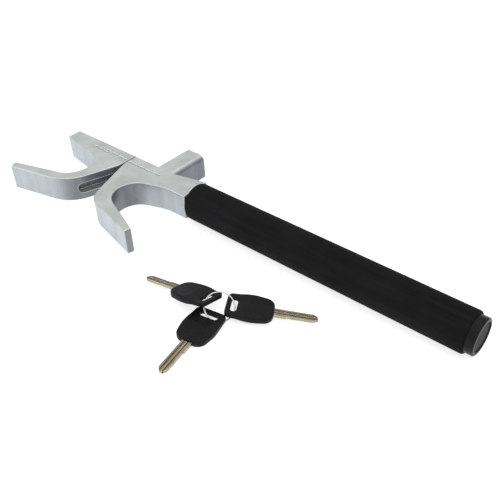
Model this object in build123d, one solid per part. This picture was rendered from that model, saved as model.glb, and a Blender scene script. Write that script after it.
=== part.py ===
from build123d import *
import os
from math import asin, atan2, cos, degrees, floor, hypot, radians, sin, tan

os.makedirs("parts", exist_ok=True)

# Telescopic steering wheel lock, pushed in, lying on a flat surface beside its three keys.
# Millimetres, +Z up.  The origin is on the handle axis at the head end of the foam grip, and +X runs
# down the handle towards the end cap.  Every piece of the lock is first modelled with its hooks level,
# and then turned about X by the small angle at which the lock comes to rest on grip and finger tips.

# Handle
grip_diameter = 38.0
grip_length = 298.0
tube_diameter = 25.0
tube_wall = 2.0
cap_diameter = 33.4
cap_thickness = 7.7
cap_plug_length = 12.0
cap_wall = 2.4
cap_edge_radius = 1.6
cap_dish_depth = 0.8
cap_dish_border = 3.2

# Hooks.  In plan each hook is drawn with u running from the split between the two castings towards
# the hook's open side, and v running across the handle, negative on the side of the fingers.
casting_thickness = 27.2
edge_radius = 1.6
spine_half_width = 8.2
split_gap = 0.6
hub_length = 96.0
hub_half_width = 16.5
hub_end_radius = 17.2
hub_fairing_start = 51.0
shoulder_gap = 0.5
arm_length = 94.5
arm_tip_front = 8.6
arm_tip_back = 7.7
fixed_hook = {
    "throat_radius": 22.0,
    "throat_u": 54.9,
    "throat_v": -44.5,
    "throat_arm_angle": 18.0,
    "finger_angle": 21.9,
    "finger_reach": 93.6,
    "tip_width": 7.2,
    "tip_lean": 12.0,
    "flank_start": 9.0,
    "corner_radius": 27.0,
}
sliding_hook = {
    "throat_radius": 23.8,
    "throat_u": 48.7,
    "throat_v": -39.8,
    "throat_arm_angle": 9.0,
    "finger_angle": 17.0,
    "finger_reach": 96.4,
    "tip_width": 9.4,
    "tip_lean": 26.0,
    "flank_start": 15.0,
    "corner_radius": 38.0,
}
finger_outer_angle = 13.3
flank_angle = 19.0
flank_radius = 14.0
hub_side_radius = 38.0
slot_height = 11.6
slot_length = 52.0
slot_depth = 9.0
slot_end_v = -60.5

# Lock boss and cylinder, on an axis that runs across the handle
boss_width = 24.4
boss_reach = 52.5
boss_axis_u = 46.2
boss_large_radius = 7.0
boss_small_radius = 2.6
shell_wall = 2.5
shell_rear_wall = 2.8
plug_diameter = 12.0
plug_inset = 0.2
tail_diameter = 7.8
keyway_rear_wall = 1.5
wafer_count = 7
wafer_pitch = 2.6
wafer_thickness = 0.8
wafer_height = 10.4
wafer_width = 4.7
clip_thickness = 0.8
clip_outer_diameter = 10.4
clip_seat = 0.45
shell_pin_diameter = 3.0

# Locking rod and bolt
rod_diameter = 11.0
rod_socket_depth = 53.0
groove_pitch = 10.0
groove_depth = 2.0
groove_width = 3.6
groove_ramp = 1.6
rod_chamfer = 0.8
cross_pin_diameter = 4.0
cross_pin_depth = 30.0
cross_pin_cover = 4.0
pin_recess = 0.5
bolt_diameter = 7.0
bolt_stroke = 2.0
bolt_nib_width = 3.2
bolt_nib_length = 2.4
bolt_flange_diameter = 10.0
bolt_flange_thickness = 1.4
bolt_bore_wall = 1.6
cam_angle = 20.0
spring_length = 5.4
spring_wire = 0.6
spring_turns = 4.5
spring_diameter = 8.8

# Guides inside the handle
spigot_length = 18.0
bush_wall = 1.4
mouth_bush_length = 12.0
mouth_bush_inset = 1.0
spigot_bush_length = 8.5
collar_length = 9.0
collar_pin_diameter = 3.0
buffer_thickness = 2.5
buffer_diameter = 18.0
bumper_diameter = 15.0
bumper_length = 9.0
tube_pin_diameter = 4.0
tube_pin_x = 4.6

# Keys
blade_length = 37.0
blade_width = 8.0
blade_thickness = 2.4
blade_root = 12.0
blade_tip_taper = 3.5
blade_tip_width = 2.4
blade_stop_length = 11.0
blade_stop_height = 0.9
blade_track_width = 1.8
blade_track_depth = 0.55
bow_length = 41.0
bow_half_width = 15.8
bow_end_half_width = 14.0
bow_front_half_width = 12.6
bow_thickness = 6.0
bow_tongue_thickness = 2.8
bow_tongue_length = 10.8
bow_ramp_length = 9.0
bow_back_corner = 5.0
bow_side_corner = 30.0
bow_front_corner = 9.0
bow_edge_radius = 1.6
bow_slot_inset = 6.9
bow_slot_length = 17.0
bow_slot_width = 5.4
ring_radius = 13.0
ring_wire_radius = 0.65
ring_tilt = 34.0
ring_low_direction = -36.0
ring_centre_x = 118.5
ring_centre_y = -96.5
ring_in_slot = 0.6
keys = [
    {"ring_angle": 85.0, "direction": 32.0, "roll": 0.0},
    {"ring_angle": -55.0, "direction": -78.5, "roll": 180.0},
    {"ring_angle": 226.0, "direction": 183.5, "roll": 12.0},
]

# Clearances
close_fit = 0.02
running_fit = 0.05
bore_clearance = 0.4
sleeve_fit = 0.05
sliding_clearance = 0.3
end_clearance = 1.5
rest_gap = 0.05

# Places that follow from the sizes
half_thickness = casting_thickness / 2
rod_radius = rod_diameter / 2
rod_bore_radius = rod_radius + bore_clearance
shell_diameter = plug_diameter + 2 * shell_wall
tube_bore_radius = tube_diameter / 2 - tube_wall
grip_radius = grip_diameter / 2
hub_end_x = -shoulder_gap
split_x = hub_end_x - hub_length
boss_axis_x = split_x + boss_axis_u
handle_end_x = grip_length
cap_plug_end_x = handle_end_x - cap_plug_length
collar_start_least = spigot_length + end_clearance + buffer_thickness
travel_room = cap_plug_end_x - end_clearance - collar_length - collar_start_least
groove_steps = floor(travel_room / groove_pitch)
rod_travel = groove_steps * groove_pitch
collar_start_x = collar_start_least + rod_travel
rod_end_x = collar_start_x + collar_length

# Places along the lock cylinder's axis, measured from the handle axis
cam_rise = tail_diameter / 2 * tan(radians(cam_angle))
bolt_tip_y = rod_radius + sliding_clearance
spring_seat_y = rod_bore_radius + bolt_bore_wall
flange_y = spring_seat_y + spring_length + sliding_clearance / 3
cam_face_y = flange_y + bolt_flange_thickness + cam_rise + sliding_clearance / 3
tail_face_y = cam_face_y + sliding_clearance
clip_y = tail_face_y + cam_rise + 0.2
shell_back_y = clip_y + clip_thickness + sliding_clearance / 3
shell_front_y = boss_reach - plug_inset
plug_back_y = shell_back_y + shell_rear_wall + sliding_clearance / 3
keyway_back_y = plug_back_y + keyway_rear_wall
chamber_radius = bolt_flange_diameter / 2 + 2 * sliding_clearance
shell_pin_y = (shell_back_y + shell_front_y) / 2
shell_pin_offset = shell_diameter / 2 - sliding_clearance


def along_x(solid, x=0.0):
    """Stand a solid that was made along +Z on the handle axis, starting at x."""
    return Pos(x, 0, 0) * Rot(0, 90, 0) * solid


def along_y(solid, y=0.0):
    """Lay a solid that was made along +Z on the lock cylinder's axis, starting at y."""
    return Pos(boss_axis_x, y, 0) * Rot(-90, 0, 0) * solid


def rod(radius, length):
    return Cylinder(radius, length, align=(Align.CENTER, Align.CENTER, Align.MIN))


def sleeve(outer_radius, inner_radius, length):
    return rod(outer_radius, length) - rod(inner_radius, length)


def vertical_pin(x, radius, z_low, z_high, y=0.0):
    return Pos(x, y, z_low) * rod(radius, z_high - z_low)


# ---------------------------------------------------------------- hook castings


def finger_tip(hook):
    """Inner and outer corners of the finger's end, and the point where it leaves the throat."""
    angle = radians(hook["finger_angle"])
    centre = Vector(hook["throat_u"], hook["throat_v"])
    leave = centre - Vector(sin(angle), cos(angle)) * hook["throat_radius"]
    run = hook["finger_reach"] - leave.X
    inner = Vector(hook["finger_reach"], leave.Y - run * tan(angle))
    lean = radians(hook["tip_lean"])
    outer = inner - Vector(sin(lean), cos(lean)) * hook["tip_width"]
    return inner, outer, leave


def flank_corner(hook, outer):
    """Start of the flank beside the split, and where it would meet the outer line of the finger."""
    flank = radians(flank_angle)
    slope = -tan(radians(finger_outer_angle))
    start = Vector(split_gap / 2, -hook["flank_start"])
    t = (start.Y - outer.Y - slope * (start.X - outer.X)) / (cos(flank) + slope * sin(flank))
    return start, start + Vector(sin(flank), -cos(flank)) * t


def throat_arm_point(hook):
    """Where the throat's arc runs out into the straight side of the arm."""
    angle = radians(hook["throat_arm_angle"])
    centre = Vector(hook["throat_u"], hook["throat_v"])
    return centre + Vector(-sin(angle), cos(angle)) * hook["throat_radius"]


def hook_plan(hook, arm):
    """Outline of one hook in plan; arm lists the corners from the throat round to the split."""
    inner, outer, leave = finger_tip(hook)
    flank_top, corner = flank_corner(hook, outer)
    join = throat_arm_point(hook)
    deepest = Vector(hook["throat_u"] - hook["throat_radius"], hook["throat_v"])
    straight = Polyline(join, *arm, flank_top, corner, outer, inner, leave)
    plan = make_face([straight, ThreePointArc(leave, deepest, join)])
    plan = fillet(plan.vertices().sort_by_distance(corner)[0], hook["corner_radius"])
    return fillet(plan.vertices().sort_by_distance(flank_top)[0], flank_radius)


def hook_plate(plan, keep_sharp_u):
    """Thick plate with its edges rounded, except those at the split and at the places named."""
    plate = extrude(plan, casting_thickness / 2, both=True)
    sharp = [split_gap / 2] + keep_sharp_u
    edges = [e for e in plate.edges() if all(abs(e.center().X - u) > 0.2 for u in sharp)]
    return fillet(edges, edge_radius)


def relief_slot(hook):
    """Round-ended slot that is cored into the flank of each hook."""
    flank = radians(flank_angle)
    top, corner = flank_corner(hook, finger_tip(hook)[1])
    end_v = slot_end_v + slot_height / 2
    end = Vector(top.X + (top.Y - end_v) * tan(flank), end_v)
    middle = end + Vector(-sin(flank), cos(flank)) * (slot_length - slot_height) / 2
    inward = Vector(cos(flank), sin(flank))
    plane = Plane(origin=middle - inward * slot_depth, x_dir=Vector(-sin(flank), cos(flank)), z_dir=inward)
    return extrude(plane * SlotOverall(slot_length, slot_height), 2 * slot_depth)


def hub_side_corner():
    """Where the throat's straight run-out meets the side of the hub."""
    join = throat_arm_point(fixed_hook)
    rise = -hub_half_width - join.Y
    return Vector(join.X + rise / tan(radians(fixed_hook["throat_arm_angle"])), -hub_half_width)


def fixed_hook_blank():
    """Fixed casting before machining, with its split at u = 0."""
    arm = [
        hub_side_corner(),
        Vector(hub_length, -hub_half_width),
        Vector(hub_length, hub_half_width),
        Vector(boss_axis_u + boss_width / 2, spine_half_width),
        Vector(split_gap / 2, spine_half_width),
    ]
    plan = hook_plan(fixed_hook, arm)
    plan = fillet(plan.vertices().sort_by_distance(hub_side_corner())[0], hub_side_radius)
    plate = hook_plate(plan, [hub_length]) - relief_slot(fixed_hook)
    return Pos(split_x, 0, 0) * plate + lock_boss() + hub_fairing()


def lock_boss():
    """Block that houses the lock cylinder, with one well rounded upper corner."""
    block = Pos(boss_axis_x, 0, 0) * Box(
        boss_width, boss_reach, casting_thickness, align=(Align.CENTER, Align.MIN, Align.CENTER)
    )
    edges = block.edges().filter_by(Axis.Y).sort_by(Axis.X)
    outer = edges[2:].sort_by(Axis.Z)
    block = fillet(outer[1], boss_large_radius)
    rest = [e for e in block.edges().filter_by(Axis.Y) if abs(abs(e.center().Z) - half_thickness) < 0.1]
    rest = [e for e in rest if abs(abs(e.center().X - boss_axis_x) - boss_width / 2) < 0.1]
    block = fillet(rest, boss_small_radius)
    return fillet(block.faces().sort_by(Axis.Y)[-1].edges(), edge_radius / 2)


def hub_fairing():
    """Round swelling that carries the flat casting over to the round grip."""
    upright = (Align.CENTER, Align.CENTER, Align.MIN)
    length = hub_length - hub_fairing_start
    cone = Cone(half_thickness, hub_end_radius, length, align=upright)
    return along_x(cone, hub_end_x - length)


def fixed_hook_casting():
    body = fixed_hook_blank()
    hub_end = body.faces().sort_by_distance(Vector(hub_end_x, 0, 0))[0]
    body = chamfer(hub_end.edges(), edge_radius / 2)
    spigot = along_x(rod(tube_bore_radius - sleeve_fit, spigot_length - hub_end_x), hub_end_x)
    body = body + spigot
    body = body - along_x(rod(rod_bore_radius, hub_length + 2 * spigot_length), split_x)
    mouth_x = split_x + split_gap / 2
    body = body - along_x(rod(bush_radius() + close_fit, mouth_bush_length + mouth_bush_inset), mouth_x)
    bush_x = spigot_length - spigot_bush_length
    body = body - along_x(rod(bush_radius() + close_fit, spigot_bush_length), bush_x)
    body = body - along_y(rod(bolt_diameter / 2 + running_fit, spring_seat_y))
    body = body - along_y(rod(chamber_radius, shell_back_y - spring_seat_y), spring_seat_y)
    body = body - along_y(rod(shell_diameter / 2 + close_fit, boss_reach), shell_back_y)
    body = body - shell_pin(close_fit)
    return body - tube_pins(close_fit)


def sliding_hook_casting():
    arm = [
        Vector(arm_length, -arm_tip_front),
        Vector(arm_length, arm_tip_back),
        Vector(split_gap / 2, spine_half_width),
    ]
    plan = hook_plan(sliding_hook, arm)
    plate = hook_plate(plan, []) - relief_slot(sliding_hook)
    body = Pos(split_x, 0, 0) * mirror(plate, about=Plane.YZ)
    socket = rod(rod_radius + close_fit, rod_socket_depth + close_fit)
    return body - along_x(socket, split_x - rod_socket_depth) - rod_cross_pin(close_fit)


# ---------------------------------------------------------------- locking rod


def groove_profile(x):
    """Square shoulder on the head side and a ramp on the other, as points from head to end."""
    bottom = rod_radius - groove_depth
    return [
        (x - groove_width / 2, rod_radius),
        (x - groove_width / 2, bottom),
        (x + groove_width / 2, bottom),
        (x + groove_width / 2 + groove_ramp, rod_radius),
    ]


def locking_rod():
    start = split_x - rod_socket_depth
    points = [(start, 0), (start, rod_radius - rod_chamfer), (start + rod_chamfer, rod_radius)]
    for step in range(groove_steps + 1):
        points += groove_profile(boss_axis_x + step * groove_pitch)
    points += [(rod_end_x - rod_chamfer, rod_radius), (rod_end_x, rod_radius - rod_chamfer), (rod_end_x, 0)]
    body = revolve(make_face(Polyline(*points, close=True)), Axis.X)
    return body - rod_cross_pin(close_fit) - collar_pin(close_fit)


def rod_cross_pin(clearance=0.0):
    radius = cross_pin_diameter / 2 + clearance
    low = pin_recess - half_thickness - clearance
    return vertical_pin(split_x - cross_pin_depth, radius, low, half_thickness - cross_pin_cover)


def stop_collar():
    outer = tube_bore_radius - sliding_clearance
    body = along_x(sleeve(outer, rod_radius + close_fit, collar_length), collar_start_x)
    return body - collar_pin(close_fit)


def collar_pin(clearance=0.0):
    reach = tube_bore_radius - 2 * sliding_clearance
    x = collar_start_x + collar_length / 2
    return vertical_pin(x, collar_pin_diameter / 2 + clearance, -reach - clearance, reach + clearance)


def stop_buffer():
    """Rubber ring that softens the stop at full reach."""
    x = collar_start_x - buffer_thickness
    return along_x(sleeve(buffer_diameter / 2, rod_radius + close_fit, buffer_thickness), x)


# ---------------------------------------------------------------- handle


def handle_tube():
    start = hub_end_x
    body = along_x(sleeve(tube_diameter / 2, tube_bore_radius, handle_end_x - start), start)
    return body - tube_pins(close_fit)


def tube_pins(clearance=0.0):
    """Two drive pins that hold the tube on the casting's spigot, one above and one below."""
    radius = tube_pin_diameter / 2 + clearance
    outer = tube_diameter / 2 - 0.1
    inner = rod_bore_radius + 1.2
    upper = vertical_pin(tube_pin_x, radius, inner - clearance, outer)
    lower = vertical_pin(tube_pin_x, radius, -outer, -inner + clearance)
    return Compound(children=[upper.solid(), lower.solid()])


def foam_grip():
    return along_x(sleeve(grip_radius, tube_diameter / 2 + sleeve_fit, grip_length))


def end_cap():
    flange = rod(cap_diameter / 2, cap_thickness)
    flange = fillet(flange.faces().sort_by(Axis.Z)[-1].edges(), cap_edge_radius)
    dish_radius = cap_diameter / 2 - cap_dish_border
    dish = Pos(0, 0, cap_thickness - cap_dish_depth) * rod(dish_radius, cap_thickness)
    plug_radius = tube_bore_radius - sleeve_fit
    plug = Pos(0, 0, -cap_plug_length) * sleeve(plug_radius, plug_radius - cap_wall, cap_plug_length)
    return along_x(flange - dish + plug, handle_end_x + sleeve_fit)


def end_bumper():
    """Rubber stopper inside the cap that the rod's end comes close to when the lock is pushed in."""
    start = handle_end_x - bumper_length
    return along_x(rod(bumper_diameter / 2, bumper_length), start)


def bush_radius():
    return rod_radius + running_fit + bush_wall


def mouth_bush():
    body = sleeve(bush_radius(), rod_radius + running_fit, mouth_bush_length)
    return along_x(body, split_x + split_gap / 2 + mouth_bush_inset)


def spigot_bush():
    body = sleeve(bush_radius(), rod_radius + running_fit, spigot_bush_length)
    return along_x(body, spigot_length - spigot_bush_length)


# ---------------------------------------------------------------- lock cylinder and bolt


def slanted_end(radius, y, keep_above):
    """Half space, as a large block, whose face passes through the cylinder axis at y on the cam slope."""
    size = 6 * radius
    side = 1 if keep_above else -1
    block = Pos(0, side * size / 2, 0) * Box(size, size, size)
    return Pos(boss_axis_x, y, 0) * Rot(cam_angle, 0, 0) * block


def lock_bolt():
    tip = bolt_tip_y
    shank = along_y(rod(bolt_diameter / 2, flange_y - tip), tip)
    side = Box(bolt_diameter, 2 * bolt_nib_length, 2 * bolt_diameter)
    for sign in (-1, 1):
        offset = sign * (bolt_nib_width + bolt_diameter) / 2
        shank = shank - Pos(boss_axis_x + offset, tip, 0) * side
    flange = along_y(rod(bolt_flange_diameter / 2, bolt_flange_thickness), flange_y)
    top = cam_face_y + cam_rise - flange_y
    cam = along_y(rod(tail_diameter / 2, top), flange_y) & slanted_end(tail_diameter, cam_face_y, False)
    return shank + flange + cam


def bolt_spring():
    rise = (spring_length - spring_wire) / spring_turns
    radius = spring_diameter / 2 - spring_wire / 2
    path = Helix(rise, rise * spring_turns, radius)
    start = Plane(path @ 0, z_dir=path % 0)
    coil = sweep(start * Circle(spring_wire / 2), path, is_frenet=True)
    return along_y(coil, spring_seat_y + spring_wire / 2)


def cylinder_shell():
    length = shell_front_y - shell_back_y
    body = rod(shell_diameter / 2, length)
    front = body.faces().sort_by(Axis.Z)[-1].edges()
    body = chamfer(front, 0.4)
    body = body - rod(tail_diameter / 2 + running_fit, length)
    body = body - Pos(0, 0, shell_rear_wall) * rod(plug_diameter / 2 + running_fit, length)
    return along_y(body, shell_back_y) - shell_pin(close_fit)


def shell_pin(clearance=0.0):
    x = boss_axis_x + shell_pin_offset
    radius = shell_pin_diameter / 2 + clearance
    return vertical_pin(x, radius, pin_recess - half_thickness - clearance, half_thickness / 2, shell_pin_y)


def wafer_places():
    first = keyway_back_y + 3.0
    return [first + index * wafer_pitch for index in range(wafer_count)]


def keyway(extra=0.0):
    width = blade_thickness + 0.2 + extra
    height = blade_width + 0.2 + extra
    length = boss_reach - keyway_back_y
    box = Box(width, length, height, align=(Align.CENTER, Align.MIN, Align.CENTER))
    return Pos(boss_axis_x, keyway_back_y, 0) * box


def cylinder_plug():
    length = shell_front_y - plug_back_y
    body = along_y(rod(plug_diameter / 2, length), plug_back_y)
    tail_start = tail_face_y - cam_rise
    tail = along_y(rod(tail_diameter / 2, plug_back_y - tail_start), tail_start)
    body = body + (tail & slanted_end(tail_diameter, tail_face_y, True))
    seat = sleeve(tail_diameter, tail_diameter / 2 - clip_seat, clip_thickness + 2 * close_fit)
    body = body - along_y(seat, clip_y - close_fit) - keyway()
    for y in wafer_places():
        slot = Box(wafer_width + 0.1, wafer_thickness + 0.1, wafer_height + 0.1)
        body = body - Pos(boss_axis_x, y, 0) * slot
    return body


def plug_wafers():
    plates = []
    for y in wafer_places():
        plate = Pos(boss_axis_x, y, 0) * Box(wafer_width, wafer_thickness, wafer_height)
        plates.append((plate - keyway(0.1)).solid())
    return Compound(children=plates)


def plug_clip():
    inner = tail_diameter / 2 - clip_seat + close_fit
    ring = sleeve(clip_outer_diameter / 2, inner, clip_thickness)
    mouth = Pos(clip_outer_diameter / 2, 0, 0) * Box(clip_outer_diameter, inner * 1.6, 4 * clip_thickness)
    return along_y(ring - mouth, clip_y)


# ---------------------------------------------------------------- keys
# Each key is drawn along +X with the middle of its ring slot at the origin, flat in XY.


def bow_plan():
    back = -bow_slot_inset
    front = bow_length - bow_slot_inset
    middle = back + 0.58 * bow_length
    half = [(back, bow_end_half_width), (middle, bow_half_width), (front, bow_front_half_width)]
    other = [(x, -y) for x, y in reversed(half)]
    plan = make_face(Polyline(*half, *other, close=True))
    radii = [bow_back_corner, bow_side_corner, bow_front_corner]
    for (x, y), radius in zip(half, radii):
        for side in (1, -1):
            plan = fillet(plan.vertices().sort_by_distance(Vector(x, side * y))[0], radius)
    return plan


def bow_side():
    """Side outline of the bow: a thin tongue for the ring that ramps up to the grip."""
    back = -bow_slot_inset - 1
    step = -bow_slot_inset + bow_tongue_length
    thick = bow_thickness / 2
    thin = bow_tongue_thickness / 2
    upper = [(back, thin), (step, thin), (step + bow_ramp_length, thick), (bow_length, thick)]
    lower = [(x, -z) for x, z in reversed(upper)]
    return make_face(Plane.XZ * Polyline(*upper, *lower, close=True))


def key_bow():
    body = extrude(bow_plan(), bow_thickness / 2, both=True)
    rims = [e for e in body.edges() if abs(abs(e.center().Z) - bow_thickness / 2) < 0.01]
    body = fillet(rims, bow_edge_radius) & extrude(bow_side(), bow_length, both=True)
    slot = extrude(SlotOverall(bow_slot_length, bow_slot_width, rotation=90), bow_thickness, both=True)
    pocket_start = bow_length - bow_slot_inset - blade_root
    pocket = Box(
        blade_root + 1, blade_width + 2 * close_fit, blade_thickness + 2 * close_fit,
        align=(Align.MIN, Align.CENTER, Align.CENTER),
    )
    return body - slot - Pos(pocket_start - close_fit, 0, 0) * pocket


def key_blade():
    """Blade with a stop on one edge that meets the plug's face, and a milled track on both faces."""
    start = bow_length - bow_slot_inset - blade_root
    stop_start = bow_length - bow_slot_inset + close_fit
    stop_end = stop_start + blade_stop_length
    tip = bow_length - bow_slot_inset + blade_length
    half = blade_width / 2
    low = half + blade_stop_height
    shoulder = tip - blade_tip_taper
    end = blade_tip_width / 2
    outline = [(start, -half), (stop_start, -half), (stop_start, -low), (stop_end, -low), (stop_end, -half)]
    outline += [(shoulder, -half), (tip, -end), (tip, end), (shoulder, half), (start, half)]
    body = extrude(make_face(Polyline(*outline, close=True)), blade_thickness / 2, both=True)
    from_tip = (Align.MAX, Align.CENTER, Align.MAX)
    track = Box(blade_length, blade_track_width, blade_track_depth, align=from_tip)
    for side in (1, -1):
        place = Pos(tip + 1, 0, 0) * Rot(90 - 90 * side, 0, 0) * Pos(0, 0, blade_thickness / 2)
        body = body - place * track
    return body


def ring_centre_z():
    return ring_radius * sin(radians(ring_tilt)) + ring_wire_radius - grip_radius


def ring_plane():
    """Plane of the key ring, whose lowest side points along ring_low_direction."""
    turn = Pos(ring_centre_x, ring_centre_y, ring_centre_z()) * Rot(0, 0, ring_low_direction)
    return turn * Rot(0, ring_tilt, 0)


def key_ring():
    return ring_plane() * Torus(ring_radius, ring_wire_radius)


def ring_point(ring_angle):
    """Middle of the ring's wire at an angle counted from its lowest side."""
    turn = radians(ring_angle)
    tilt = radians(ring_tilt)
    spoke = Vector(cos(turn) * cos(tilt), sin(turn), -cos(turn) * sin(tilt))
    centre = Vector(ring_centre_x, ring_centre_y, ring_centre_z())
    return centre + spoke.rotate(Axis.Z, ring_low_direction) * ring_radius


def key_place(key):
    """A key hangs on the ring by its slot and slopes down until its bow or its tip lies on the surface."""
    wire = ring_point(key["ring_angle"])
    flat = bow_thickness / 2 + rest_gap
    height = max(wire.Z + grip_radius, flat)
    bow_front = bow_length - bow_slot_inset
    over_bow = (height - flat) / bow_front
    rolled_edge = blade_width / 2 * sin(radians(abs(key["roll"])))
    over_tip = (height - blade_thickness / 2 - rolled_edge - rest_gap) / (bow_front + blade_length)
    slope = degrees(asin(min(over_bow, over_tip)))
    hang = Pos(wire.X, wire.Y, height - grip_radius) * Rot(0, 0, key["direction"]) * Rot(0, slope, 0)
    return hang * Rot(key["roll"], 0, 0) * Pos(-ring_in_slot, 0, 0)


# ---------------------------------------------------------------- rest position and output


def resting_angle():
    """Turn about X that brings the grip and the fingers' lower outer corners onto one level."""
    outer = finger_tip(fixed_hook)[1]
    reach = hypot(outer.Y, half_thickness)
    return degrees(asin(grip_radius / reach) - atan2(half_thickness, -outer.Y))


def save(name, shape):
    solids = shape.solids()
    whole = solids[0] if len(solids) == 1 else Compound(children=list(solids))
    export_step(whole, f"parts/{name}.step")


def save_lock_pieces():
    lay_down = Rot(resting_angle(), 0, 0)
    makers = [
        fixed_hook_casting, sliding_hook_casting, locking_rod, rod_cross_pin, stop_collar, collar_pin,
        stop_buffer, handle_tube, tube_pins, foam_grip, end_cap, end_bumper, mouth_bush, spigot_bush,
        lock_bolt, bolt_spring, cylinder_shell, shell_pin, cylinder_plug, plug_wafers, plug_clip,
    ]
    for maker in makers:
        save(maker.__name__, lay_down * maker())


def save_keys():
    save("key_ring", key_ring())
    for number, key in enumerate(keys, start=1):
        place = key_place(key)
        save(f"key_{number}_bow", place * key_bow())
        save(f"key_{number}_blade", place * key_blade())


save_lock_pieces()
save_keys()
print(f"rod travel {rod_travel:.1f}, resting angle {resting_angle():.3f} degrees")
print(f"split x {split_x:.2f}, lock axis x {boss_axis_x:.2f}, rod end x {rod_end_x:.2f}")
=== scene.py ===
from math import cos, radians, sin, tau

import bmesh
import bpy
from mathutils import Matrix, Vector, noise


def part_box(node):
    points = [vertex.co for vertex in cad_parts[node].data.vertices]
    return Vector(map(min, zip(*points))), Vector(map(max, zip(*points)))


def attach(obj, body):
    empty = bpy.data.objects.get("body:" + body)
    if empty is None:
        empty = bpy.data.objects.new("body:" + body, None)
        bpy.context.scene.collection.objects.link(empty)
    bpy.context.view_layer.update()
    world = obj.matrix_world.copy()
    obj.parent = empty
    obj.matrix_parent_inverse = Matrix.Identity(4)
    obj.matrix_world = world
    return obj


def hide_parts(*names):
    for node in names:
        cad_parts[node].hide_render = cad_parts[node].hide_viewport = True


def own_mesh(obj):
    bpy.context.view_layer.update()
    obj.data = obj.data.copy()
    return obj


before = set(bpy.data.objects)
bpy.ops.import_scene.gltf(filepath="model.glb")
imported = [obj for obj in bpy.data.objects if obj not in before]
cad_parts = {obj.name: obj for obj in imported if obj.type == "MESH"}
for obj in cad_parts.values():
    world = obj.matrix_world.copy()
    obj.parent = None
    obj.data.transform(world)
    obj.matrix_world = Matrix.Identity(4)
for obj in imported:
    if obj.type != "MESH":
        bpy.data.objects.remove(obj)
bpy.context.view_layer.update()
MM = 0.001


# ---------------------------------------------------------------- hook castings
# Two zinc die castings, one fixed to the handle and one on the rod.  They leave the die with a fine
# satin skin, are tumbled so that their edges wear bright, and keep faint flow clouds on the broad faces.
# Their colour also carries painted light: the broad faces are painted pale as if lit from above, the
# walls painted greyer as shade, the walls that face the end cap painted darkest as shadow, and the
# edges painted brighter still as a highlight.

# Painted light: pale broad faces as if lit from above, walls in painted shade, walls facing the end cap in
# painted shadow, and bright edges that are part wear and part painted highlight.
lit_face_dark = (0.50, 0.525, 0.50, 1)
lit_face_light = (0.66, 0.685, 0.66, 1)
shaded_wall_dark = (0.37, 0.402, 0.425, 1)
shaded_wall_light = (0.46, 0.500, 0.525, 1)
shadowed_end_wall_dark = (0.155, 0.162, 0.178, 1)
shadowed_end_wall_light = (0.225, 0.233, 0.252, 1)
edge_wear_and_highlight = (0.92, 0.94, 0.95, 1)
edge_wear_and_highlight_radius, cast_edge_soft = 0.9 * MM, 0.8 * MM
edge_samples = 6


def finish(name):
    """A new material, with its node tree and its shader."""
    material = bpy.data.materials.new(name)
    material.use_nodes = True
    return material, material.node_tree, material.node_tree.nodes["Principled BSDF"]


def put(tree, kind, values=None, links=None, **settings):
    """Add one node, with its settings, its socket values and what is linked into it."""
    made = tree.nodes.new("ShaderNode" + kind)
    for key, value in settings.items():
        setattr(made, key, value)
    for socket, value in (values or {}).items():
        made.inputs[socket].default_value = value
    for socket, source in (links or {}).items():
        tree.links.new(source, made.inputs[socket])
    return made


def cloud(tree, scale, detail=4.0, stretch=(1, 1, 1), roughness=0.55):
    """Noise on object coordinates, with scale in repeats per metre."""
    place = put(tree, "TexCoord").outputs["Object"]
    place = put(tree, "Mapping", {"Scale": stretch}, {"Vector": place}).outputs["Vector"]
    values = {"Scale": scale, "Detail": detail, "Roughness": roughness}
    return put(tree, "TexNoise", values, {"Vector": place}).outputs["Fac"]


def spread(tree, source, low, high, start=0.3, stop=0.7):
    """Map a factor onto a range of values."""
    values = {"From Min": start, "From Max": stop, "To Min": low, "To Max": high}
    return put(tree, "MapRange", values, {"Value": source}).outputs["Result"]


def mix(tree, factor, low, high):
    """Blend two colours, each a fixed colour or another node's output."""
    made = put(tree, "Mix", None, {0: factor}, data_type="RGBA")
    for socket, value in ((6, low), (7, high)):
        if isinstance(value, tuple):
            made.inputs[socket].default_value = value
        else:
            tree.links.new(value, made.inputs[socket])
    return made.outputs[2]


def edge_mask(tree, radius, sharpness):
    """How close a point is to a convex edge: 0 on flat faces, 1 on the edge."""
    round_normal = put(tree, "Bevel", {"Radius": radius}, samples=edge_samples).outputs["Normal"]
    true_normal = put(tree, "NewGeometry").outputs["Normal"]
    links = {0: round_normal, 1: true_normal}
    alike = put(tree, "VectorMath", None, links, operation="DOT_PRODUCT").outputs["Value"]
    return spread(tree, alike, 1.0, 0.0, 1 - sharpness, 1.0)


def bump(tree, shader, height, strength, distance, soft_edge=0.0):
    """Relief on the surface, over an edge that is rounded by soft_edge."""
    made = put(tree, "Bump", {"Strength": strength, "Distance": distance}, {"Height": height})
    if soft_edge:
        rounded = put(tree, "Bevel", {"Radius": soft_edge}, samples=edge_samples)
        tree.links.new(rounded.outputs["Normal"], made.inputs["Normal"])
    tree.links.new(made.outputs["Normal"], shader.inputs["Normal"])


def facing(tree):
    """Object-space normal: how far a point faces up or down, and how far it faces along the handle."""
    normal = put(tree, "TexCoord").outputs["Normal"]
    parts = put(tree, "SeparateXYZ", None, {0: normal})
    upright = put(tree, "Math", None, {0: parts.outputs["Z"]}, operation="ABSOLUTE").outputs[0]
    return upright, parts.outputs["X"]


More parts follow.
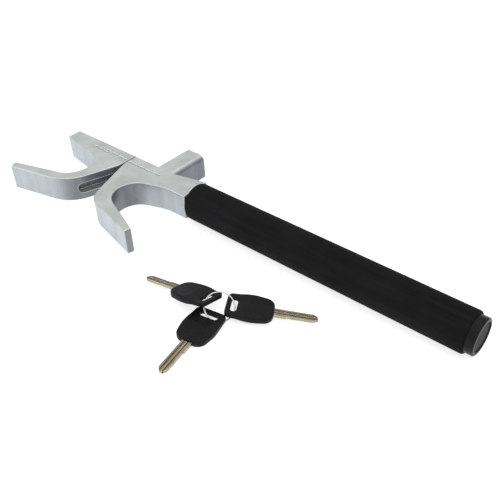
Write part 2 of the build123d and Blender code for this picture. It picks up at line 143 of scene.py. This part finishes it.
def cast_metal():
    """Painted light: pale on the broad faces as if lit from above, greyer on the walls as painted shade,
    darkest on walls that face the end cap as painted shadow, and bright on the edges as wear and a painted
    highlight.
    """
    material, tree, shader = finish("satin_die_cast_zinc")
    flow = cloud(tree, 45, 5)
    streak = cloud(tree, 95, 4, (1, 1, 0.16))
    upright, along = facing(tree)
    # Broad faces painted pale as lit from above, walls painted as shade, and walls facing the end cap
    # painted darkest as shadow.
    lit_from_above = spread(tree, upright, 0, 1, 0.55, 0.95)
    face = mix(tree, spread(tree, flow, 0, 1, 0.3, 0.7), lit_face_dark, lit_face_light)
    shaded_wall = mix(tree, spread(tree, streak, 0, 1, 0.3, 0.7), shaded_wall_dark, shaded_wall_light)
    shadowed_end_wall = mix(tree, spread(tree, streak, 0, 1, 0.3, 0.7), shadowed_end_wall_dark, shadowed_end_wall_light)
    shaded_side = mix(tree, spread(tree, along, 0, 1, 0.25, 0.75), shaded_wall, shadowed_end_wall)
    body = mix(tree, lit_from_above, shaded_side, face)
    # Edges painted bright: part tumbling wear, part painted highlight.
    wear_and_highlight = edge_mask(tree, edge_wear_and_highlight_radius, 0.10)
    tree.links.new(mix(tree, wear_and_highlight, body, edge_wear_and_highlight), shader.inputs["Base Color"])
    rough = spread(tree, cloud(tree, 420, 3), 0.26, 0.38)
    tree.links.new(rough, shader.inputs["Roughness"])
    shader.inputs["Metallic"].default_value = 0.75
    bump(tree, shader, cloud(tree, 1500, 3), 0.10, 0.10 * MM, cast_edge_soft)
    return material


def dress(node_name, material):
    """Give a carried-over solid its finish."""
    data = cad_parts[node_name].data
    data.materials.clear()
    data.materials.append(material)


cast_finish = cast_metal()
for casting in ("fixed_hook_casting", "sliding_hook_casting"):
    dress(casting, cast_finish)


# ---------------------------------------------------------------- relief bars
# A row of plain slanted bars is cast in relief beside the back edge of each hook, where such a lock
# carries its name.  The bars stand half a millimetre proud, and tumbling polishes their tops; the tops
# are also painted bright as a highlight, and the sides painted dark as shade.

resting_angle = radians(3.424)
face_height = 13.6 * MM
bar_length, bar_width, bar_relief = 5.8 * MM, 1.6 * MM, 0.5 * MM
short_bar, short_every = 0.62, 3
bar_slant = radians(64)

# First and last bar along the handle, in millimetres, and how many bars stand in the row.
mark_rows = {
    "sliding_hook": (-147.0, -101.0, 15),
    "fixed_hook": (-91.5, -49.0, 14),
}
mark_line = -3.6 * MM
# The foot colour is painted shade; the two top colours are polish with a painted highlight.
mark_foot_painted_shade, lit_mark_top_dull, lit_mark_top_bright = (0.24, 0.25, 0.245, 1), (0.82, 0.84, 0.82, 1), (0.97, 0.98, 0.97, 1)


def mark_metal():
    """Bright on top of each bar as polish and a painted highlight, and dull round its foot as painted
    shade.
    """
    material, tree, shader = finish("relief_polish_and_painted_light")
    upright, _ = facing(tree)
    polish_and_highlight = mix(tree, cloud(tree, 700, 3), lit_mark_top_dull, lit_mark_top_bright)
    # Sides painted dark as shade and tops painted bright as lit, by how far each faces up.
    color = mix(tree, spread(tree, upright, 0, 1, 0.35, 0.9), mark_foot_painted_shade, polish_and_highlight)
    tree.links.new(color, shader.inputs["Base Color"])
    tree.links.new(spread(tree, cloud(tree, 900, 2), 0.2, 0.34), shader.inputs["Roughness"])
    shader.inputs["Metallic"].default_value = 0.85
    bump(tree, shader, cloud(tree, 1800, 2), 0.15, 0.06 * MM)
    return material


def place_piece(name, made, material, body, smooth=True):
    """Turn a finished bmesh into a piece that rides on a body."""
    data = bpy.data.meshes.new(name)
    bmesh.ops.recalc_face_normals(made, faces=made.faces)
    for face in made.faces:
        face.smooth = smooth
    made.to_mesh(data)
    made.free()
    piece = bpy.data.objects.new(name, data)
    bpy.context.scene.collection.objects.link(piece)
    data.materials.append(material)
    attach(piece, body)
    return piece


def relief_bars(name, body, first, last, count):
    """A row of blocks, half sunk in the face, with rounded corners and softened tops."""
    made = bmesh.new()
    for index in range(count):
        x = (first + (last - first) * index / (count - 1)) * MM
        bar = bmesh.ops.create_cube(made, size=1.0)["verts"]
        length = bar_length * (short_bar if index % short_every == 1 else 1)
        bmesh.ops.scale(made, vec=(length, bar_width, 2 * bar_relief), verts=bar)
        bmesh.ops.rotate(made, cent=(0, 0, 0), matrix=Matrix.Rotation(bar_slant, 3, "Z"), verts=bar)
        bmesh.ops.translate(made, vec=(x, mark_line, face_height), verts=bar)
    upright = [e for e in made.edges if abs(e.verts[0].co.z - e.verts[1].co.z) > bar_relief]
    bmesh.ops.bevel(
        made, geom=upright, offset=0.4 * bar_width, segments=4, profile=0.5, affect="EDGES", material=-1
    )
    top = [e for e in made.edges if all(v.co.z > face_height for v in e.verts)]
    bmesh.ops.bevel(
        made, geom=top, offset=0.5 * bar_relief, segments=2, profile=0.5, affect="EDGES", material=-1
    )
    bmesh.ops.rotate(
        made, cent=(0, 0, 0), matrix=Matrix.Rotation(resting_angle, 3, "X"), verts=made.verts
    )
    return place_piece(name, made, mark_finish, body, smooth=False)


mark_finish = mark_metal()
relief_bars("sliding_hook_marks", "sliding_hook", *mark_rows["sliding_hook"])
relief_bars("fixed_hook_marks", "handle", *mark_rows["fixed_hook"])


# ---------------------------------------------------------------- locking rod and small steel parts
# A hardened steel rod with ring grooves, pinned into the sliding hook, and the plain steel pins,
# collar, clip and bolt that go with it.  All are turned or ground, which leaves fine rings round them.

rod_dark, rod_light = (0.36, 0.36, 0.37, 1), (0.62, 0.62, 0.63, 1)
pin_dark, pin_light = (0.30, 0.30, 0.31, 1), (0.48, 0.48, 0.50, 1)


def turned_steel(name, dark, light, low_rough, high_rough):
    """Bare steel with rings across the handle axis."""
    material, tree, shader = finish(name)
    rings = cloud(tree, 240, 4, (9, 0.6, 0.6))
    tree.links.new(mix(tree, spread(tree, rings, 0, 1), dark, light), shader.inputs["Base Color"])
    tree.links.new(spread(tree, rings, low_rough, high_rough), shader.inputs["Roughness"])
    shader.inputs["Metallic"].default_value = 1.0
    bump(tree, shader, cloud(tree, 900, 2, (6, 0.5, 0.5)), 0.12, 0.05 * MM, 0.25 * MM)
    return material


rod_finish = turned_steel("ground_rod_steel", rod_dark, rod_light, 0.18, 0.34)
pin_finish = turned_steel("plain_pin_steel", pin_dark, pin_light, 0.28, 0.45)
dress("locking_rod", rod_finish)
for small_part in (
    "rod_cross_pin", "stop_collar", "collar_pin", "tube_pins", "shell_pin", "plug_clip", "lock_bolt",
):
    dress(small_part, pin_finish)


# ---------------------------------------------------------------- bolt spring
# A small coil of spring steel wire round the bolt, between its seat in the casting and the bolt's
# flange.  It closes up as the key pushes the bolt into the rod.


def coil_mesh():
    """The carried-over coil, with its loose triangles joined up."""
    made = bmesh.new()
    made.from_mesh(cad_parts["bolt_spring"].data)
    bmesh.ops.remove_doubles(made, verts=made.verts, dist=1e-7)
    return made


spring = place_piece("bolt_return_spring", coil_mesh(), pin_finish, "handle")
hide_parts("bolt_spring")
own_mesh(spring)


# ---------------------------------------------------------------- handle tube and guides
# The handle is a zinc plated steel tube, with plastic guide bushes for the rod and rubber
# stoppers for its two ends of travel.

plating_dark, plating_light = (0.42, 0.44, 0.47, 1), (0.62, 0.63, 0.64, 1)
acetal_dark, acetal_light = (0.60, 0.58, 0.51, 1), (0.68, 0.66, 0.60, 1)
rubber_dark, rubber_light = (0.012, 0.012, 0.012, 1), (0.03, 0.03, 0.03, 1)


def plated_tube():
    """Zinc plating over faint lines from drawing."""
    material, tree, shader = finish("zinc_plated_tube")
    drawn = cloud(tree, 300, 4, (0.15, 3, 3))
    color = mix(tree, spread(tree, drawn, 0, 1), plating_dark, plating_light)
    tree.links.new(color, shader.inputs["Base Color"])
    tree.links.new(spread(tree, drawn, 0.3, 0.46), shader.inputs["Roughness"])
    shader.inputs["Metallic"].default_value = 1.0
    bump(tree, shader, drawn, 0.1, 0.05 * MM)
    return material


def moulded(name, dark, light, low_rough, high_rough, pits, depth):
    """Plastic or rubber with a fine moulded skin, whose pits are given in repeats per metre and depth."""
    material, tree, shader = finish(name)
    skin = cloud(tree, 300, 4)
    tree.links.new(mix(tree, spread(tree, skin, 0, 1), dark, light), shader.inputs["Base Color"])
    tree.links.new(spread(tree, cloud(tree, 130, 3), low_rough, high_rough), shader.inputs["Roughness"])
    bump(tree, shader, cloud(tree, pits, 2), 0.35, depth)
    return material


dress("handle_tube", plated_tube())
bush_finish = moulded("acetal_bush", acetal_dark, acetal_light, 0.38, 0.5, 2400, 0.03 * MM)
stopper_finish = moulded("stopper_rubber", rubber_dark, rubber_light, 0.65, 0.85, 1800, 0.08 * MM)
for bush in ("mouth_bush", "spigot_bush"):
    dress(bush, bush_finish)
for stopper in ("stop_buffer", "end_bumper"):
    dress(stopper, stopper_finish)


# ---------------------------------------------------------------- foam grip
# A sleeve of black closed-cell foam, pushed over the tube.  It was cut to length with a hot knife, so
# its ends are a little rounded, and its skin has fine cells and faint lines from extrusion.

grip_low, grip_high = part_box("foam_grip")
grip_start, grip_end = grip_low.x, grip_high.x
grip_radius = 19.0 * MM
grip_bore = 12.56 * MM
grip_round = 2.4 * MM
grip_waviness = 0.16 * MM
waves_along, waves_round = 22, 60
grip_rows, grip_steps = 96, 96
foam_dark, foam_light = (0.0060, 0.0060, 0.0062, 1), (0.0095, 0.0096, 0.0100, 1)
foam_streak = (0.0150, 0.0152, 0.0158, 1)


def turn(profile, steps):
    """Spin a closed profile of (x, radius) points about the handle axis."""
    made = bmesh.new()
    points = [made.verts.new((x, 0, radius)) for x, radius in profile]
    edges = [made.edges.new(pair) for pair in zip(points, points[1:] + points[:1])]
    bmesh.ops.spin(
        made, geom=points + edges, cent=(0, 0, 0), axis=(1, 0, 0), angle=tau, steps=steps,
        use_merge=True, use_duplicate=False,
    )
    bmesh.ops.remove_doubles(made, verts=made.verts, dist=1e-7)
    return made


def corner(centre_x, centre_r, radius, start, stop, steps=8):
    """Points of a rounded corner in a turned profile."""
    turns = [radians(start + (stop - start) * i / steps) for i in range(steps + 1)]
    return [(centre_x + radius * cos(t), centre_r + radius * sin(t)) for t in turns]


def foam_skin():
    """Very dark and dull, a little paler along the lines of extrusion."""
    material, tree, shader = finish("black_closed_cell_foam")
    cells = cloud(tree, 1500, 4, roughness=0.7)
    streaks = cloud(tree, 210, 4, (0.05, 1, 1))
    patches = cloud(tree, 26, 3)
    tone = mix(tree, spread(tree, patches, 0, 1), foam_dark, foam_light)
    color = mix(tree, spread(tree, streaks, 0, 0.6, 0.45, 0.75), tone, foam_streak)
    tree.links.new(color, shader.inputs["Base Color"])
    tree.links.new(spread(tree, cells, 0.72, 0.95), shader.inputs["Roughness"])
    shader.inputs["Specular IOR Level"].default_value = 0.07
    joined = put(tree, "Math", None, {0: cells, 1: streaks}, operation="ADD").outputs[0]
    bump(tree, shader, joined, 0.45, 0.25 * MM)
    return material


def foam_sleeve():
    """A turned tube with rounded ends, whose outside is slightly uneven."""
    outer = corner(grip_start + grip_round, grip_radius - grip_round, grip_round, 180, 90)
    length = grip_end - grip_start - 2 * grip_round
    outer += [(grip_start + grip_round + length * i / grip_rows, grip_radius) for i in range(1, grip_rows)]
    outer += corner(grip_end - grip_round, grip_radius - grip_round, grip_round, 90, 0)
    made = turn(outer + [(grip_end, grip_bore), (grip_start, grip_bore)], grip_steps)
    for vert in made.verts:
        reach = Vector((0, vert.co.y, vert.co.z))
        if reach.length > grip_bore + grip_round:
            place = (vert.co.x * waves_along, vert.co.y * waves_round, vert.co.z * waves_round)
            slow = noise.noise(Vector(place))
            vert.co -= reach.normalized() * grip_waviness * (0.5 + 0.5 * slow)
    return made


foam = place_piece("foam_grip_sleeve", foam_sleeve(), foam_skin(), "handle")
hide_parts("foam_grip")


# ---------------------------------------------------------------- end cap
# A black moulded cap with a shallow disc in its face.  The disc has a fine spark texture from the
# mould, and the rim round it is polished.

cap_dark, cap_light = (0.006, 0.006, 0.006, 1), (0.014, 0.014, 0.014, 1)
disc_radius, disc_blend = 13.4 * MM, 0.2 * MM


def cap_plastic():
    """Dull and textured within the disc's radius, and smoother on the rim round it."""
    material, tree, shader = finish("spark_textured_cap")
    place = put(tree, "TexCoord").outputs["Object"]
    across = put(tree, "VectorMath", {1: (0, 1, 1)}, {0: place}, operation="MULTIPLY").outputs[0]
    radius = put(tree, "VectorMath", None, {0: across}, operation="LENGTH").outputs["Value"]
    on_disc = spread(tree, radius, 1, 0, disc_radius - disc_blend, disc_radius + disc_blend)
    speck = cloud(tree, 2600, 2)
    color = mix(tree, spread(tree, speck, 0, 1), cap_dark, cap_light)
    tree.links.new(color, shader.inputs["Base Color"])
    tree.links.new(spread(tree, on_disc, 0.30, 0.52, 0, 1), shader.inputs["Roughness"])
    shader.inputs["Specular IOR Level"].default_value = 0.09
    relief = put(tree, "Math", None, {0: speck, 1: on_disc}, operation="MULTIPLY").outputs[0]
    bump(tree, shader, relief, 0.25, 0.08 * MM, 0.4 * MM)
    return material


dress("end_cap", cap_plastic())


# ---------------------------------------------------------------- lock cylinder
# A brass cylinder in the casting's boss.  Its face is turned and nickel plated, and the plug shows
# the keyway; wafers of thin brass sheet sit inside the plug.

shell_dark, shell_light = (0.52, 0.50, 0.45, 1), (0.66, 0.64, 0.58, 1)
plug_dark, plug_light = (0.52, 0.42, 0.24, 1), (0.70, 0.58, 0.34, 1)
wafer_dark, wafer_light = (0.50, 0.38, 0.18, 1), (0.66, 0.52, 0.27, 1)


def cylinder_brass(name, dark, light, rough):
    """Brass, bare or plated, with small changes of tone and shine."""
    material, tree, shader = finish(name)
    tone = cloud(tree, 500, 4)
    tree.links.new(mix(tree, spread(tree, tone, 0, 1), dark, light), shader.inputs["Base Color"])
    tree.links.new(spread(tree, cloud(tree, 900, 2), rough, rough + 0.12), shader.inputs["Roughness"])
    shader.inputs["Metallic"].default_value = 1.0
    bump(tree, shader, cloud(tree, 1600, 2), 0.15, 0.04 * MM, 0.2 * MM)
    return material


dress("cylinder_shell", cylinder_brass("plated_shell", shell_dark, shell_light, 0.2))
dress("cylinder_plug", cylinder_brass("brass_plug", plug_dark, plug_light, 0.22))
dress("plug_wafers", cylinder_brass("sheet_brass", wafer_dark, wafer_light, 0.3))


# ---------------------------------------------------------------- keys
# Flat blades of nickel plated brass with milled tracks, moulded into black plastic bows.  The plating
# is thin and warm, and the tracks show more of the brass.

# Where each key's slot lies, in millimetres, and how the key is turned: roll, slope, direction.
key_lies = {
    1: ((126.87, -86.57, -11.71), (0.0, 4.87, 32.0)),
    2: ((117.24, -108.75, -15.25), (180.0, 1.18, -78.5)),
    3: ((106.95, -99.66, -6.03), (12.0, 8.81, 183.5)),
}
track_edge, track_middle = 2.1 * MM, 0.6 * MM
plate_dark, plate_light = (0.27, 0.238, 0.168, 1), (0.45, 0.405, 0.295, 1)
gold_dark, gold_light = (0.50, 0.36, 0.13, 1), (0.72, 0.56, 0.26, 1)
track_shade, blade_edge_wear_and_highlight = (0.055, 0.045, 0.028, 1), (0.74, 0.70, 0.58, 1)
bow_dark, bow_light = (0.006, 0.006, 0.0062, 1), (0.011, 0.011, 0.0115, 1)


def key_plating(number):
    """Plating with edges painted pale as wear and a painted highlight, and a track along the blade that is
    gold in its middle and dark beside it as painted shade.
    """
    material, tree, shader = finish(f"nickel_on_brass_{number}")
    place = put(tree, "TexCoord").outputs["Object"]
    slot, lie = key_lies[number]
    values = {"Location": Vector(slot) * MM, "Rotation": [radians(v) for v in lie]}
    local = put(tree, "Mapping", values, {"Vector": place}, vector_type="TEXTURE").outputs["Vector"]
    across = put(tree, "SeparateXYZ", None, {0: local}).outputs["Y"]
    across = put(tree, "Math", None, {0: across}, operation="ABSOLUTE").outputs[0]
    in_track = spread(tree, across, 1, 0, track_edge - 0.15 * MM, track_edge + 0.1 * MM)
    in_middle = spread(tree, across, 1, 0, track_middle - 0.2 * MM, track_middle + 0.2 * MM)
    wipe = cloud(tree, 160, 4)
    plate = mix(tree, spread(tree, wipe, 0, 1), plate_dark, plate_light)
    gold = mix(tree, wipe, gold_dark, gold_light)
    track = mix(tree, in_middle, track_shade, gold)
    color = mix(tree, in_track, plate, track)
    # Edges painted pale: wear of the plating and a painted highlight.
    wear_and_highlight = edge_mask(tree, 0.5 * MM, 0.12)
    tree.links.new(mix(tree, wear_and_highlight, color, blade_edge_wear_and_highlight), shader.inputs["Base Color"])
    tree.links.new(spread(tree, cloud(tree, 600, 3), 0.18, 0.32), shader.inputs["Roughness"])
    shader.inputs["Metallic"].default_value = 0.95
    bump(tree, shader, cloud(tree, 900, 3), 0.12, 0.06 * MM, 0.2 * MM)
    return material


def bow_plastic():
    """Black plastic with a fine grain and soft edges."""
    material, tree, shader = finish("moulded_key_plastic")
    skin = cloud(tree, 420, 4)
    color = mix(tree, spread(tree, skin, 0, 1), bow_dark, bow_light)
    tree.links.new(color, shader.inputs["Base Color"])
    tree.links.new(spread(tree, cloud(tree, 120, 3), 0.34, 0.46), shader.inputs["Roughness"])
    shader.inputs["Specular IOR Level"].default_value = 0.11
    bump(tree, shader, cloud(tree, 2200, 2), 0.22, 0.05 * MM, 0.9 * MM)
    return material


bow_finish = bow_plastic()
for number in key_lies:
    dress(f"key_{number}_blade", key_plating(number))
    dress(f"key_{number}_bow", bow_finish)


# ---------------------------------------------------------------- key ring
# The keys hang on a small ring of round spring wire.  The wire is bent into a circle and bright
# nickel plated, and it passes through the slot in each bow.

wire_dark, wire_light = (0.46, 0.46, 0.47, 1), (0.74, 0.74, 0.74, 1)


def bright_wire():
    """Smooth plating with a faint haze."""
    material, tree, shader = finish("bright_plated_wire")
    haze = cloud(tree, 500, 3)
    tree.links.new(mix(tree, haze, wire_dark, wire_light), shader.inputs["Base Color"])
    tree.links.new(spread(tree, haze, 0.05, 0.16), shader.inputs["Roughness"])
    shader.inputs["Metallic"].default_value = 1.0
    bump(tree, shader, cloud(tree, 1800, 2), 0.08, 0.02 * MM)
    return material


dress("key_ring", bright_wire())


# ---------------------------------------------------------------- floor, light and camera
# A plain white floor that glows a little, under a wide and faintly warm light overhead, with a
# smaller cool light from the left front.

floor_height, floor_reach = -19.0 * MM, 40.0
floor_dark, floor_light = (0.52, 0.52, 0.52, 1), (0.56, 0.56, 0.56, 1)


def white_floor():
    """Matt and almost even, with a glow of its own that keeps it white."""
    material, tree, shader = finish("white_floor")
    faint = cloud(tree, 3, 2)
    color = mix(tree, faint, floor_dark, floor_light)
    tree.links.new(color, shader.inputs["Base Color"])
    shader.inputs["Roughness"].default_value = 0.9
    shader.inputs["Specular IOR Level"].default_value = 0.1
    shader.inputs["Emission Color"].default_value = (1, 1, 1, 1)
    shader.inputs["Emission Strength"].default_value = 0.72
    return material


floor_mesh = bmesh.new()
bmesh.ops.create_grid(floor_mesh, x_segments=1, y_segments=1, size=floor_reach)
bmesh.ops.translate(floor_mesh, vec=(0, 0, floor_height), verts=floor_mesh.verts)
floor_data = bpy.data.meshes.new("floor")
floor_mesh.to_mesh(floor_data)
floor_mesh.free()
floor_data.materials.append(white_floor())
floor = bpy.data.objects.new("floor", floor_data)
bpy.context.scene.collection.objects.link(floor)


def softbox(name, place, aim, size, watts, color):
    """A rectangular lamp, turned to face what it aims at."""
    lamp = bpy.data.lights.new(name, "AREA")
    lamp.shape = "RECTANGLE"
    lamp.size, lamp.size_y = size
    lamp.energy = watts
    lamp.color = color
    made = bpy.data.objects.new(name, lamp)
    made.location = place
    made.rotation_euler = (Vector(aim) - Vector(place)).to_track_quat("-Z", "Y").to_euler()
    bpy.context.scene.collection.objects.link(made)


object_middle = (0.05, -0.03, 0)
softbox("overhead", (0.4, -0.2, 1.9), object_middle, (2.6, 2.6), 18, (1.0, 0.985, 0.955))
softbox("left_front", (-1.3, -1.5, 0.9), object_middle, (1.4, 1.0), 8, (0.88, 0.94, 1.0))

sky = bpy.data.worlds.new("studio")
sky.use_nodes = True
backdrop = sky.node_tree.nodes["Background"]
backdrop.inputs["Color"].default_value = (0.97, 0.985, 1.0, 1)
backdrop.inputs["Strength"].default_value = 0.78
bpy.context.scene.world = sky
bpy.context.scene.view_settings.view_transform = "Standard"

look_down, look_round = radians(35.917), radians(40.88)
camera_data = bpy.data.cameras.new("camera")
camera_data.lens = 50.4
camera_data.sensor_width = 36.0
camera_data.shift_x = 0.0165
camera_data.shift_y = 0.0028
camera = bpy.data.objects.new("camera", camera_data)
camera.location = (0.42602, -0.42327, 0.37109)
camera.rotation_euler = (tau / 4 - look_down, 0, look_round)
bpy.context.scene.collection.objects.link(camera)
bpy.context.scene.camera = camera
